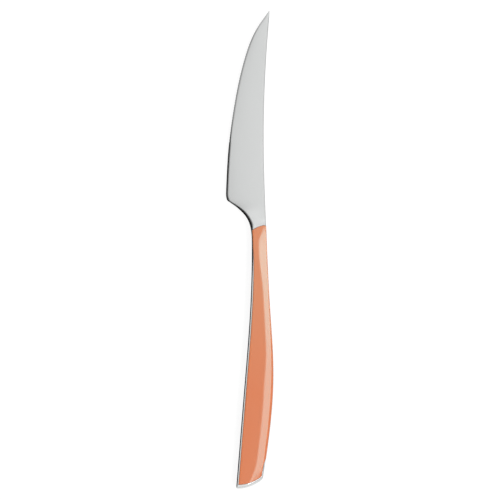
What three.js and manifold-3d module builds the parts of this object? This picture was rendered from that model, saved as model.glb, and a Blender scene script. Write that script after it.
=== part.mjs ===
// A table knife lying on its back side: a one-piece stainless blade and tang, with a moulded
// coloured scale bonded into a shallow pocket on each side of the handle.
// Millimetres, +Z up, +Y towards the point, +X towards the back of the blade.
// Shapes are drawn from the neck line (y = 0) and the back of the neck (x = 0), about the middle
// plane of the knife (z = 0). The finished knife is then set down with its origin under its centre.

import * as THREE from 'three';
import { mergeVertices } from 'three/addons/utils/BufferGeometryUtils.js';
import Module from 'manifold-3d';

const wasm = await Module();
wasm.setup();

// Blade outline
const BLADE_LENGTH = 109;          // neck line to point
const BLADE_DEPTH = 20.2;          // back of the neck to the heel of the edge, across the knife
const POINT_SWEEP = 1.7;           // how far the point turns up beyond the back of the neck
const BACK_HOLLOW = 1.2;           // how far the back dips along the middle of the blade
const HEEL_FROM_NECK = 17.4;       // neck line to the start of the cutting edge
const HEEL_LENGTH = 4.05;          // rounded corner of the heel, along the knife
const HEEL_ROUND = 1.1;            // the same, across the knife
const CHOIL_ANGLE = 36;            // degrees between the choil at the heel and a line across the knife
const CHOIL_SWEEP = 8;             // how far the choil runs nearly straight from the heel
const POINT_LAND = 0.12;           // flat left at the very point
const NARROW = 3;                  // blade width below which its bevels draw in towards the point
const POINT_TAPER = 9;             // blade width below which its back thins towards the point

// Handle outline
const HANDLE_LENGTH = 130.85;      // neck line to the lowest corner of the butt
const NECK_WIDTH = 7.25;
const NECK_LENGTH = 7;             // neck line to where the choil ends and the belly begins
const NECK_STRAIGHT = 8;           // even width of the belly beyond that
const NECK_FULL = 3;               // neck line to where the neck has its full thickness
const BACK_SWELL = 3.65;           // how far the back of the handle stands out beyond the neck
const BUTT_DROP = 15.1;            // back of the neck to the belly corner of the butt, across
const BUTT_WIDTH = 13.45;
const BUTT_RISE = 4.65;            // how much higher the butt is at the back than at the belly
const BUTT_CURVE = 2.2;            // how late the butt curves up on its way to the back, as a power
const BUTT_LEAN = 46;              // length of handle over which the sections lean to the butt
const BUTT_ROUND = 2.1;            // rounded edge of the butt
const BELLY_CORNER = 1;            // corner radius of the butt at the belly
const BACK_CORNER = 1.4;           // corner radius of the butt at the back

// Thicknesses, each from the middle plane to one side
const POINT_HALF = 0.5;            // back of the blade, at the point
const BLADE_HALF = 0.95;           // back of the blade, at the heel
const EDGE_HALF = 0.05;            // cutting edge
const BEVEL_HALF = 0.32;           // top of the ground bevel
const BEVEL_WIDTH = 1.4;
const BLADE_CROWN = 0.15;          // how far the sides of the blade bulge, at its deepest
const NECK_HALF = 2.6;
const NECK_BACK_HALF = 2.15;
const HANDLE_HALF = 3.7;           // broad flat of the scales
const FACET_WIDTH = 4.6;           // sloping facet along the back of the handle, with the rounded edge
const FACET_ANGLE = 15;            // degrees by which that facet falls to the back
const SHOULDER = 17;               // neck line to where the broad flat begins
const BELLY_ROUND = 0.56;          // rounded steel edge along the belly
const NECK_ROUND = 1.85;           // the same at the neck
const BACK_ROUND = 0.35;           // rounded edge along the back of the blade and neck
const HANDLE_BACK_ROUND = 1.5;     // the same along the back of the handle
const ROUND_TURN = 38;             // degrees through which a belly edge is rounded

// Fine saw teeth on the forward part of the edge
const TEETH_FROM_NECK = 43.5;
const TEETH_TO_POINT = 2.2;        // plain edge left at the point
const TEETH_BEVEL_WIDTH = 1;       // the ground bevel is narrower along the teeth
const TEETH_BEVEL_HALF = 0.22;
const TOOTH_PITCH = 1.25;
const TOOTH_DEPTH = 0.26;
const TOOTH_RADIUS = 1.5;
const TOOTH_GRIND = 25;            // degrees between the grinding wheel and the side of the blade
const WHEEL_LENGTH = 5;
const BEVEL_CHANGE = 2.5;          // length of edge over which the bevel narrows

// Pockets, scales and bond
const WEB_HALF = 1.5;              // tang left between the two pockets
const FILM = 0.2;                  // bond between tang and scale
const FIT = 0.12;                  // gap round a scale in its pocket
const RIM_NECK = 0.45;             // steel rim beside the pocket at the neck
const RIM_BELLY = 1.02;            // the same along the belly
const RIM_BUTT = 2.2;              // steel rim at the butt
const RIM_BACK = 0.9;              // steel rim round the back corner of the butt
const RIM_BACK_LENGTH = 9;         // how far that rim runs up the back
const FOOT_CORNER = 1.2;           // rounded corner of the scale at the butt
const FRONT_SLANT = 2.6;           // how much further forward the pocket reaches at the back
const FRONT_PEAK = 1.3;            // back of the neck to the foremost place of the scale
const FRONT_CORNER = 1.1;          // rounded corner of the scale beside the back of the neck

// Locating pegs under the front scale
const PEG_RADIUS = 1.5;
const PEG_COUNT = 3;
const PEG_FIRST = 26;              // neck line to the first peg
const PEG_LAST = 108;              // neck line to the last peg
const PEG_FIT = 0.12;              // gap round a peg
const PEG_ROOT = 0.5;              // length of peg inside its scale
const SOCKET_DEPTH = 1.1;

// Curves and laws

// Smooth curve through [place, value] points that never overshoots them, as a function of the place.
function law(points) {
  const chords = points.slice(1).map(([y, v], i) => (v - points[i][1]) / (y - points[i][0]));
  const slopes = points.map((_, i) => {
    const before = chords[i - 1] ?? 0;
    const after = chords[i] ?? 0;
    return before * after > 0 ? (2 * before * after) / (before + after) : 0;
  });
  return (y) => {
    const last = points.length - 1;
    if (y <= points[0][0]) return points[0][1];
    if (y >= points[last][0]) return points[last][1];
    const i = points.findIndex((point) => point[0] > y) - 1;
    const span = points[i + 1][0] - points[i][0];
    const t = (y - points[i][0]) / span;
    const lift = (points[i + 1][1] - points[i][1]) * t * t * (3 - 2 * t);
    return points[i][1] + lift + span * t * (1 - t) * (slopes[i] * (1 - t) - slopes[i + 1] * t);
  };
}

// Natural cubic spline through [place, value] points, as a function of the place.
function spline(points) {
  const n = points.length;
  const gaps = points.slice(1).map((point, i) => point[0] - points[i][0]);
  const chords = points.slice(1).map((point, i) => (point[1] - points[i][1]) / gaps[i]);
  const bend = new Array(n).fill(0);
  const ratio = new Array(n).fill(0);
  for (let i = 1; i < n - 1; i += 1) {
    const pivot = 2 * (gaps[i - 1] + gaps[i]) - gaps[i - 1] * ratio[i - 1];
    ratio[i] = gaps[i] / pivot;
    bend[i] = (6 * (chords[i] - chords[i - 1]) - gaps[i - 1] * bend[i - 1]) / pivot;
  }
  for (let i = n - 2; i > 0; i -= 1) bend[i] -= ratio[i] * bend[i + 1];
  return (y) => {
    const found = points.findIndex((point) => point[0] > y);
    const i = Math.min(Math.max(found < 0 ? n - 2 : found - 1, 0), n - 2);
    const a = y - points[i][0];
    const b = points[i + 1][0] - y;
    const straight = points[i][1] + chords[i] * a;
    const pull = bend[i] * (gaps[i] + b) + bend[i + 1] * (gaps[i] + a);
    return straight - (a * b * pull) / (6 * gaps[i]);
  };
}

// Place across the knife of a curve that only climbs, as a function of the place along it.
function acrossAt(curve, y) {
  let low = 0;
  let high = 1;
  for (let i = 0; i < 40; i += 1) {
    const middle = (low + high) / 2;
    if (curve.getPoint(middle).y < y) low = middle;
    else high = middle;
  }
  return curve.getPoint((low + high) / 2).x;
}

const degrees = THREE.MathUtils.degToRad;
const mix = (a, b, t) => a + (b - a) * t;
const smooth = (y, from, to) => THREE.MathUtils.smoothstep((y - from) / (to - from), 0, 1);
const rounding = (gone, radius) => {
  const left = THREE.MathUtils.clamp(radius - gone, 0, radius);
  return radius - Math.sqrt(radius ** 2 - left ** 2);
};

// Outline of the knife

const backLine = spline([
  [BUTT_RISE - HANDLE_LENGTH, BUTT_WIDTH - BUTT_DROP],
  [-0.765 * HANDLE_LENGTH, 0.56 * BACK_SWELL],
  [-0.57 * HANDLE_LENGTH, BACK_SWELL],
  [-0.3 * HANDLE_LENGTH, 0.51 * BACK_SWELL],
  [0, 0],
  [0.365 * BLADE_LENGTH, -BACK_HOLLOW],
  [0.62 * BLADE_LENGTH, -0.7 * BACK_HOLLOW],
  [0.86 * BLADE_LENGTH, 0.33 * POINT_SWEEP],
  [BLADE_LENGTH, POINT_SWEEP],
]);

const EDGE_LENGTH = BLADE_LENGTH - HEEL_FROM_NECK;
const EDGE_RISE = BLADE_DEPTH + POINT_SWEEP;
const edgeLine = spline([
  [0, 0],
  [0.225, 0.05],
  [0.486, 0.191],
  [0.75, 0.439],
  [0.925, 0.758],
  [1, 0.985],
].map(([along, up]) => [HEEL_FROM_NECK + along * EDGE_LENGTH, up * EDGE_RISE - BLADE_DEPTH]));

const heelTop = new THREE.Vector2(edgeLine(HEEL_FROM_NECK), HEEL_FROM_NECK);
const heelFoot = new THREE.Vector2(HEEL_ROUND - BLADE_DEPTH, HEEL_FROM_NECK - HEEL_LENGTH);
const choilRun = new THREE.Vector2(1, 0).rotateAround(new THREE.Vector2(), -degrees(CHOIL_ANGLE));
const heelCorner = heelFoot.clone().addScaledVector(choilRun, -HEEL_ROUND / choilRun.x);
const heelCurve = new THREE.QuadraticBezierCurve(heelFoot, heelCorner, heelTop);
const neckPoint = new THREE.Vector2(-NECK_WIDTH, -NECK_LENGTH);
const choilCurve = new THREE.CubicBezierCurve(
  neckPoint,
  new THREE.Vector2(-NECK_WIDTH, 0.95 * NECK_LENGTH),
  heelFoot.clone().addScaledVector(choilRun, CHOIL_SWEEP),
  heelFoot,
);
const bellyLine = spline([
  [-HANDLE_LENGTH, -BUTT_DROP],
  [-0.575 * HANDLE_LENGTH, mix(-NECK_WIDTH, -BUTT_DROP, 0.425)],
  [-0.305 * HANDLE_LENGTH, mix(-NECK_WIDTH, -BUTT_DROP, 0.095)],
  [-NECK_LENGTH - NECK_STRAIGHT, -NECK_WIDTH],
  [-NECK_LENGTH, -NECK_WIDTH],
]);

function lowerLine(y) {
  if (y > HEEL_FROM_NECK) return edgeLine(y);
  if (y > heelFoot.y) return acrossAt(heelCurve, y);
  if (y > -NECK_LENGTH) return acrossAt(choilCurve, y);
  return bellyLine(y);
}

// Laws of the sections along the knife

const bevelFrom = TEETH_FROM_NECK - 0.6 * BEVEL_CHANGE;
const bevelTo = bevelFrom + BEVEL_CHANGE;
const neckPlace = (share) => mix(heelFoot.y, -NECK_FULL, share);
const faceHalf = law([
  [-SHOULDER, HANDLE_HALF],
  [neckPlace(1), NECK_HALF],
  [neckPlace(0.52), mix(BEVEL_HALF, NECK_HALF, 0.6)],
  [neckPlace(0), 1.2 * BEVEL_HALF],
  [HEEL_FROM_NECK, BEVEL_HALF],
  [bevelFrom, BEVEL_HALF],
  [bevelTo, TEETH_BEVEL_HALF],
]);
const bellyWidth = law([
  [-1.6 * SHOULDER, BELLY_ROUND],
  [neckPlace(1.2), mix(BELLY_ROUND, NECK_ROUND, 0.25)],
  [neckPlace(0.7), NECK_ROUND],
  [neckPlace(0.34), NECK_ROUND],
  [HEEL_FROM_NECK, BEVEL_WIDTH],
  [bevelFrom, BEVEL_WIDTH],
  [bevelTo, TEETH_BEVEL_WIDTH],
]);
const ridgeFromBack = law([
  [-HANDLE_LENGTH, 1.7 * FACET_WIDTH],
  [-0.955 * HANDLE_LENGTH, 1.24 * FACET_WIDTH],
  [-0.91 * HANDLE_LENGTH, 1.04 * FACET_WIDTH],
  [-0.62 * HANDLE_LENGTH, FACET_WIDTH],
  [-0.46 * HANDLE_LENGTH, 0.72 * FACET_WIDTH],
  [-0.25 * HANDLE_LENGTH, 0.64 * FACET_WIDTH],
  [-0.1 * HANDLE_LENGTH, 0.9 * FACET_WIDTH],
  [-0.055 * HANDLE_LENGTH, 0.93 * FACET_WIDTH],
  [-0.02 * HANDLE_LENGTH, 0.62 * FACET_WIDTH],
  [0.015 * HANDLE_LENGTH, 0.25 * FACET_WIDTH],
]);
const backRound = law([
  [-HANDLE_LENGTH, 0.45 * HANDLE_BACK_ROUND],
  [-0.93 * HANDLE_LENGTH, 0.8 * HANDLE_BACK_ROUND],
  [-0.8 * HANDLE_LENGTH, HANDLE_BACK_ROUND],
  [-0.62 * HANDLE_LENGTH, 0.93 * HANDLE_BACK_ROUND],
  [-0.3 * HANDLE_LENGTH, mix(BACK_ROUND, HANDLE_BACK_ROUND, 0.15)],
  [-SHOULDER, BACK_ROUND],
]);

// Height of the back at the foot of the sloping facet, and of the same line along neck and blade.
const facetFoot = (y) => HANDLE_HALF - (ridgeFromBack(y) - backRound(y)) * Math.tan(degrees(FACET_ANGLE));
const neckBackHalf = law([
  [-SHOULDER, facetFoot(-SHOULDER)],
  [neckPlace(1), NECK_BACK_HALF],
  [neckPlace(0.72), mix(BLADE_HALF, NECK_BACK_HALF, 0.97)],
  [neckPlace(0.52), mix(BLADE_HALF, NECK_BACK_HALF, 0.66)],
  [HEEL_FROM_NECK, BLADE_HALF],
  [BLADE_LENGTH, POINT_HALF],
]);
const backHalf = (y) => mix(neckBackHalf(y), facetFoot(y), smooth(y, 0.5 * -SHOULDER, 1.5 * -SHOULDER));

const leanAt = (y) => smooth(y, BUTT_LEAN - HANDLE_LENGTH, -HANDLE_LENGTH);
const buttRise = (share) => BUTT_RISE * Math.max(share, 0) ** BUTT_CURVE;

// Half of a section, from the belly to the back: how far across and how high.
function halfSection(y, width) {
  const room = Math.min(width / NARROW, 1);
  const belly = bellyWidth(y) * room;
  const back = backRound(y) * room;
  const face = mix(EDGE_HALF, faceHalf(y), room);
  const taper = y > HEEL_FROM_NECK ? Math.min(width / POINT_TAPER, 1) : 1;
  const spine = mix(face, backHalf(y), taper);
  const turn = degrees(ROUND_TURN);
  const steel = smooth(y, HEEL_FROM_NECK, neckPlace(0.45));
  const edge = mix(EDGE_HALF, face - belly * Math.tan(turn / 2), steel);
  const flat = smooth(y, neckPlace(0.34), neckPlace(1));
  const crown = (BLADE_CROWN * width) / BLADE_DEPTH;
  const tilt = ((1 - flat) * (spine - face + 4 * crown)) / (width - back - belly);
  const profile = [];
  for (let i = 0; i < 5; i += 1) {
    const angle = turn * (1 - i / 4);
    const out = Math.sin(angle) / Math.sin(turn);
    const down = (1 - Math.cos(angle)) / (1 - Math.cos(turn));
    const side = face - tilt * belly * out;
    profile.push([belly * (1 - out), side - (face - tilt * belly - edge) * down]);
  }
  const ridge = width - ridgeFromBack(y) * room;
  const slope = (across) => {
    const share = (across - belly) / (width - back - belly);
    return mix(face, spine, share) + 4 * crown * share * (1 - share);
  };
  for (let i = 1; i < 5; i += 1) {
    const across = mix(belly, ridge, i / 4);
    profile.push([across, mix(slope(across), face, flat)]);
  }
  const facet = profile[profile.length - 1];
  for (let i = 1; i < 3; i += 1) {
    profile.push([mix(facet[0], width - back, i / 3), mix(facet[1], spine, i / 3)]);
  }
  const fall = Math.atan2(facet[1] - spine, width - back - facet[0]);
  const radius = back / (1 - Math.sin(fall));
  for (let i = 0; i < 5; i += 1) {
    const angle = mix(fall, Math.PI / 2, i / 4);
    const drop = radius * (Math.cos(fall) - Math.cos(angle));
    profile.push([width - radius * (1 - Math.sin(angle)), spine - drop]);
  }
  return profile;
}

// One closed ring of the knife, upper half from belly to back and lower half in return.
function ring(y) {
  const gone = y + HANDLE_LENGTH;
  const lean = leanAt(y);
  const left = lowerLine(y);
  const right = backLine(y + lean * BUTT_RISE);
  const inset = rounding(gone, BELLY_CORNER);
  const width = right - left - inset - rounding(gone, BACK_CORNER);
  const thinning = 1 - rounding(gone, BUTT_ROUND) / faceHalf(y);
  const upper = halfSection(y, width).map(([across, half]) => {
    const share = (inset + across) / (right - left);
    return new THREE.Vector3(left + inset + across, y + lean * buttRise(share), half * thinning);
  });
  const lower = upper.map((point) => point.clone().setZ(-point.z));
  return [upper, lower];
}

// Places of the sections along the knife, from the butt to the point.
function stations() {
  const places = [];
  const run = (from, to, steps) => {
    for (let i = 0; i < steps; i += 1) places.push(mix(from, to, i / steps));
  };
  const corner = Math.max(BACK_CORNER, BUTT_ROUND);
  for (let i = 0; i < 7; i += 1) {
    places.push(corner * (1 - Math.cos((i / 7) * (Math.PI / 2))) - HANDLE_LENGTH);
  }
  run(corner - HANDLE_LENGTH, -0.86 * HANDLE_LENGTH, 9);
  run(-0.86 * HANDLE_LENGTH, -SHOULDER, 25);
  run(-SHOULDER, -NECK_LENGTH, 5);
  run(-NECK_LENGTH, neckPlace(0.75), 9);
  run(neckPlace(0.75), heelFoot.y, 14);
  run(heelFoot.y, HEEL_FROM_NECK, 7);
  run(HEEL_FROM_NECK, bevelFrom, 8);
  run(bevelFrom, bevelTo, 3);
  run(bevelTo, 0.88 * BLADE_LENGTH, 14);
  run(0.88 * BLADE_LENGTH, BLADE_LENGTH - POINT_LAND, 9);
  places.push(BLADE_LENGTH - POINT_LAND);
  return places;
}

// Closed skin over rings that run from the butt to the point.
function loft(rings) {
  const count = rings[0][0].length;
  const corners = rings.flatMap(([upper, lower]) => [...upper, ...lower].flatMap((point) => point.toArray()));
  const index = [];
  const quad = (a, b, c, d) => index.push(a, b, c, a, c, d);
  const at = (r, side, i) => (r * 2 + side) * count + i;
  const last = rings.length - 1;
  for (let r = 0; r < last; r += 1) {
    for (let i = 0; i < count - 1; i += 1) {
      quad(at(r, 0, i), at(r, 0, i + 1), at(r + 1, 0, i + 1), at(r + 1, 0, i));
      quad(at(r, 1, i + 1), at(r, 1, i), at(r + 1, 1, i), at(r + 1, 1, i + 1));
    }
    quad(at(r, 1, 0), at(r, 0, 0), at(r + 1, 0, 0), at(r + 1, 1, 0));
    quad(at(r, 0, count - 1), at(r, 1, count - 1), at(r + 1, 1, count - 1), at(r + 1, 0, count - 1));
  }
  for (let i = 0; i < count - 1; i += 1) {
    quad(at(0, 1, i), at(0, 1, i + 1), at(0, 0, i + 1), at(0, 0, i));
    quad(at(last, 0, i), at(last, 0, i + 1), at(last, 1, i + 1), at(last, 1, i));
  }
  const geometry = new THREE.BufferGeometry();
  geometry.setAttribute('position', new THREE.Float32BufferAttribute(corners, 3));
  geometry.setIndex(index);
  return geometry;
}

// Solids

function solid(geometry) {
  geometry.deleteAttribute('normal');
  geometry.deleteAttribute('uv');
  const merged = mergeVertices(geometry, 1e-4);
  return new wasm.Manifold(new wasm.Mesh({
    numProp: 3,
    vertProperties: new Float32Array(merged.attributes.position.array),
    triVerts: new Uint32Array(merged.index.array),
  }));
}

function geometryOf(body) {
  const mesh = body.getMesh();
  const geometry = new THREE.BufferGeometry();
  geometry.setAttribute('position', new THREE.BufferAttribute(new Float32Array(mesh.vertProperties), 3));
  geometry.setIndex(new THREE.BufferAttribute(new Uint32Array(mesh.triVerts), 1));
  return geometry;
}

const joined = (bodies) => bodies.reduce((whole, body) => whole.add(body));
const knifeBody = solid(loft(stations().map(ring)));

// Grinding wheels of the saw teeth, one for each gullet, working from the back side of the blade.
function gullets() {
  const grind = degrees(TOOTH_GRIND);
  const wheels = [];
  let y = TEETH_FROM_NECK;
  while (y < BLADE_LENGTH - TEETH_TO_POINT) {
    const along = new THREE.Vector3(edgeLine(y + 0.1) - edgeLine(y - 0.1), 0.2, 0).normalize();
    const inward = new THREE.Vector3(along.y, -along.x, 0);
    const axis = inward.clone().multiplyScalar(Math.cos(grind)).setZ(-Math.sin(grind));
    const beside = inward.clone().multiplyScalar(-Math.sin(grind)).setZ(-Math.cos(grind));
    const wheel = new THREE.CylinderGeometry(TOOTH_RADIUS, TOOTH_RADIUS, WHEEL_LENGTH, 28);
    wheel.applyQuaternion(new THREE.Quaternion().setFromUnitVectors(new THREE.Vector3(0, 1, 0), axis));
    const cut = new THREE.Vector3(edgeLine(y), y, EDGE_HALF)
      .addScaledVector(inward, TOOTH_DEPTH)
      .addScaledVector(beside, TOOTH_RADIUS);
    wheel.translate(cut.x, cut.y, cut.z);
    wheels.push(solid(wheel));
    y += TOOTH_PITCH * along.y;
  }
  return joined(wheels);
}

// Plan of a pocket, or of a piece in it that keeps a gap all round: down the belly, along the
// butt, up the back, where it soon leaves the knife, and across the slanted front.
function pocketPlan(gap) {
  const foot = RIM_BUTT + gap - HANDLE_LENGTH;
  const lean = leanAt(foot);
  const corner = foot + lean * BUTT_RISE;
  const rim = law([
    [-0.62 * HANDLE_LENGTH, RIM_BELLY],
    [-0.31 * HANDLE_LENGTH, mix(RIM_NECK, RIM_BELLY, 0.42)],
    [0, RIM_NECK],
  ]);
  const backRim = law([
    [corner, -RIM_BACK - gap],
    [corner + 0.5 * RIM_BACK_LENGTH, -0.9 * RIM_BACK - gap],
    [corner + RIM_BACK_LENGTH, 0],
    [corner + 1.4 * RIM_BACK_LENGTH, RIM_BACK],
  ]);
  const bellySide = (y) => new THREE.Vector2(lowerLine(y) + rim(y) + gap, y);
  const backSide = (y) => new THREE.Vector2(backLine(y) + backRim(y), y);
  const buttSide = (x) => {
    const share = (x - lowerLine(foot)) / (backLine(corner) - lowerLine(foot));
    return new THREE.Vector2(x, foot + lean * buttRise(share));
  };

  const plan = [];
  const front = -0.5 * FRONT_SLANT - gap;
  for (let i = 0; i <= 26; i += 1) plan.push(bellySide(mix(front, foot, i / 26)));
  const turnFrom = buttSide(backSide(corner).x - FOOT_CORNER);
  const turnTo = backSide(corner + 0.2 * FOOT_CORNER);
  for (let i = 1; i < 10; i += 1) plan.push(buttSide(mix(plan[26].x, turnFrom.x, i / 10)));
  plan.push(...new THREE.QuadraticBezierCurve(turnFrom, buttSide(turnTo.x), turnTo).getPoints(5));
  for (let i = 1; i <= 12; i += 1) {
    plan.push(backSide(mix(turnTo.y, corner + 1.4 * RIM_BACK_LENGTH, i / 12)));
  }
  const peak = new THREE.Vector2(-FRONT_PEAK, 0.5 * FRONT_SLANT - gap);
  const side = new THREE.Vector2(0.3 * FRONT_CORNER, peak.y - FRONT_CORNER);
  const clearOfBack = BACK_SWELL + RIM_BACK;
  plan.push(new THREE.Vector2(clearOfBack, corner + 1.8 * RIM_BACK_LENGTH));
  plan.push(new THREE.Vector2(clearOfBack, side.y));
  plan.push(...new THREE.QuadraticBezierCurve(side, new THREE.Vector2(0, peak.y), peak).getPoints(5));
  const slant = new THREE.CubicBezierCurve(
    peak,
    new THREE.Vector2(-0.42 * NECK_WIDTH, mix(front, peak.y, 0.85)),
    new THREE.Vector2(-0.8 * NECK_WIDTH, mix(front, peak.y, 0.5)),
    plan[0],
  );
  plan.push(...slant.getPoints(8).slice(1, -1));
  return new THREE.Shape(plan);
}

function slab(gap, from, to) {
  const geometry = new THREE.ExtrudeGeometry(pocketPlan(gap), { depth: to - from, bevelEnabled: false });
  return solid(geometry.translate(0, 0, from));
}

function pegs(radius, from, to) {
  const posts = [];
  for (let i = 0; i < PEG_COUNT; i += 1) {
    const y = -mix(PEG_FIRST, PEG_LAST, i / (PEG_COUNT - 1));
    const post = new THREE.CylinderGeometry(radius, radius, to - from, 24).rotateX(Math.PI / 2);
    posts.push(solid(post.translate((lowerLine(y) + backLine(y)) / 2, y, (from + to) / 2)));
  }
  return joined(posts);
}

const SEAT = WEB_HALF + FILM;      // inner face of a scale
const CLEAR = 2 * HANDLE_HALF;     // above everything
const holes = pegs(PEG_RADIUS + PEG_FIT, -CLEAR, CLEAR);

const bladeAndTang = knifeBody
  .subtract(slab(0, WEB_HALF, CLEAR))
  .subtract(slab(0, -CLEAR, -WEB_HALF))
  .subtract(holes)
  .subtract(gullets());
const frontScale = knifeBody
  .intersect(slab(FIT, SEAT, CLEAR))
  .add(pegs(PEG_RADIUS, PEG_FIT - SEAT - SOCKET_DEPTH, SEAT + PEG_ROOT));
const backScale = knifeBody
  .intersect(slab(FIT, -CLEAR, -SEAT))
  .subtract(pegs(PEG_RADIUS + PEG_FIT, -SEAT - SOCKET_DEPTH, 0));
const frontFilm = knifeBody.intersect(slab(FIT, WEB_HALF, SEAT)).subtract(holes);
const backFilm = knifeBody.intersect(slab(FIT, -SEAT, -WEB_HALF)).subtract(holes);

// Pieces

const knife = new THREE.Group();
knife.name = 'table_knife';

function piece(name, body, material) {
  const mesh = new THREE.Mesh(geometryOf(body), new THREE.MeshStandardMaterial(material));
  mesh.name = name;
  knife.add(mesh);
}

const steel = { color: 0xcfcfce, roughness: 0.22, metalness: 1 };
const plastic = { color: 0xdf8e69, roughness: 0.2, metalness: 0 };
const bond = { color: 0x8d7a6c, roughness: 0.6, metalness: 0 };
piece('blade_and_tang', bladeAndTang, steel);
piece('front_scale', frontScale, plastic);
piece('back_scale', backScale, plastic);
piece('front_glue_film', frontFilm, bond);
piece('back_glue_film', backFilm, bond);

const box = new THREE.Box3().setFromObject(knife);
const middle = box.getCenter(new THREE.Vector3());
knife.position.set(-middle.x, -middle.y, -box.min.z);

export default knife;
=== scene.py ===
# A table knife that lies on its back side, seen from straight above: a one-piece stainless blade and
# tang with a finely toothed edge, and a glossy coloured scale set flush into each side of the handle.
# Shapes are drawn in millimetres from the neck line (y = 0) and the back of the neck (x = 0), about
# the middle plane of the knife (z = 0), and are then set into the frame in metres.

import bisect
import math

import bmesh
import bpy
from mathutils import Matrix, Vector


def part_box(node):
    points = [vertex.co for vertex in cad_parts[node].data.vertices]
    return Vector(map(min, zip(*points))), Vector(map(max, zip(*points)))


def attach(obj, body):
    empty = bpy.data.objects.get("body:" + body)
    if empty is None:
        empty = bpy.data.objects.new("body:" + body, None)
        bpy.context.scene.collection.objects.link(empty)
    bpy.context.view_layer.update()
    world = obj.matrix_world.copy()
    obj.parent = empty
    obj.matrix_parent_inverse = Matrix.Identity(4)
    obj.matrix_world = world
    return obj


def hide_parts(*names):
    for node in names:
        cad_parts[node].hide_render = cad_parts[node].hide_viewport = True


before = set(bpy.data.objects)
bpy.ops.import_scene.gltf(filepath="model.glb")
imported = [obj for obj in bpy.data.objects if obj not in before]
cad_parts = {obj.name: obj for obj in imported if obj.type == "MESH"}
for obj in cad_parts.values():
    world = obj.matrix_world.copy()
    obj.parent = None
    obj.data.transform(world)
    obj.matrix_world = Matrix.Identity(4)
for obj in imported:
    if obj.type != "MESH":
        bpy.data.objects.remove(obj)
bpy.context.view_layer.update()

# Blade outline
BLADE_LENGTH = 109.0
BLADE_DEPTH = 20.2
POINT_SWEEP = 1.7
BACK_HOLLOW = 1.2
HEEL_FROM_NECK = 17.4
HEEL_LENGTH = 4.05
HEEL_ROUND = 1.1
CHOIL_ANGLE = math.radians(34)
CHOIL_SWEEP = 10.5
POINT_LAND = 0.12                 # blunt end of the point
NARROW = 3.0                      # where the blade is narrower than this, all its sizes shrink with it
POINT_TAPER = 9.0                 # and the same for the thickness of its back

# Handle outline
HANDLE_LENGTH = 130.85
NECK_WIDTH = 7.25
NECK_LENGTH = 7.0
NECK_STRAIGHT = 8.0
NECK_FULL = 3.0                   # behind the neck line, where the neck has all its thickness
CHOIL_TURN = 0.6                  # share of the neck over which the choil turns into it
BACK_SWELL = 3.65
BUTT_DROP = 15.1
BUTT_WIDTH = 13.45
BUTT_RISE = 4.65
BUTT_CURVE = 2.2
BUTT_LEAN = 46.0
BUTT_ROUND = 2.1
BELLY_CORNER = 1.0
BACK_CORNER = 1.4

# Thicknesses, each from the middle plane to one side
POINT_HALF = 0.5
BLADE_HALF = 0.95
EDGE_HALF = 0.05
BEVEL_HALF = 0.32
BEVEL_WIDTH = 1.4
BLADE_CROWN = 0.15
NECK_HALF = 2.6
NECK_BACK_HALF = 2.15
HANDLE_HALF = 3.7
FACET_WIDTH = 4.6
FACET_ANGLE = math.radians(15)
SHOULDER = 17.0
BELLY_ROUND = 0.76
NECK_ROUND = 2.2
BACK_ROUND = 0.35
HANDLE_BACK_ROUND = 1.5
ROUND_TURN = math.radians(25)     # how far the rounding along the belly turns down
CRISP_TURN = math.radians(24)     # first turn of the crisp edge along the back of the blade
CRISP_FROM = 1.0                  # where that edge begins to give way to the back of the handle
CRISP_TO = -3.0
RIDGE_SOFT = 1.0                  # half width of the rounded ridge between the flat and the facet
RIDGE_SHARE = 0.4                 # and at most this share of either

# Fine saw teeth on the forward part of the edge
TEETH_FROM_NECK = 43.5
TEETH_TO_POINT = 2.2
TEETH_BEVEL_WIDTH = 1.1
FORWARD_BEVEL_WIDTH = 1.35
TEETH_BEVEL_HALF = 0.22
TOOTH_PITCH = 1.25
TOOTH_DEPTH = 0.26
TOOTH_RADIUS = 1.5
TOOTH_GRIND = math.radians(25)
WHEEL_LENGTH = 5.0
BEVEL_CHANGE = 2.5                # length over which the bevel narrows where the teeth begin
BEVEL_FADE = 16.0                 # length over which it widens again towards the point
FACE_CHANGE = 6.0                 # how much sooner and later the blade itself thins there

# Pockets, scales and bond
WEB_HALF = 1.5
FILM = 0.2
SEAT = WEB_HALF + FILM
FIT = 0.12
RIM_NECK = 0.42
RIM_BELLY = 1.0
RIM_BUTT = 2.2
RIM_BACK = 0.9
RIM_BACK_LENGTH = 9.0
FOOT_CORNER = 1.2
FRONT_SLANT = 2.6
FRONT_PEAK = 1.3
FRONT_CORNER = 1.1
SCALE_SOFT = 0.2                  # rounded upper edge of a scale
POCKET_CHAMFER = 0.07             # broken edge of the steel round a pocket
BEAD_RADIUS = 0.056               # bond that shows in the joint round a scale
BEAD_DEPTH = 0.1                  # how far it lies below the surface

# Locating pegs between the scales
PEG_RADIUS = 1.5
PEG_COUNT = 3
PEG_FIRST = 26.0
PEG_LAST = 108.0
PEG_FIT = 0.12
PEG_ROOT = 0.5
SOCKET_DEPTH = 1.1

# Fineness of the meshes
HALVINGS = 40                     # to find a place on a curve
LEAN_ROUNDS = 6                   # to find a place on a leaning section
RIM_ROUNDS = 4                    # to find the back rim on a leaning section
FRONT_ROUNDS = 25                 # to find the slanted front of a scale
CORNER_SECTIONS = 16
EDGE_STEPS = 240
WHEEL_SIDES = 56
PEG_SIDES = 32
BEAD_SIDES = 8
OUTLINE_STEPS = 4000
MERGE = 1e-4                      # points that lie closer are one
STEEL_CREASE = math.radians(14)   # edges that turn further stay sharp
SCALE_CREASE = math.radians(30)
BEAD_CREASE = math.radians(60)

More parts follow.
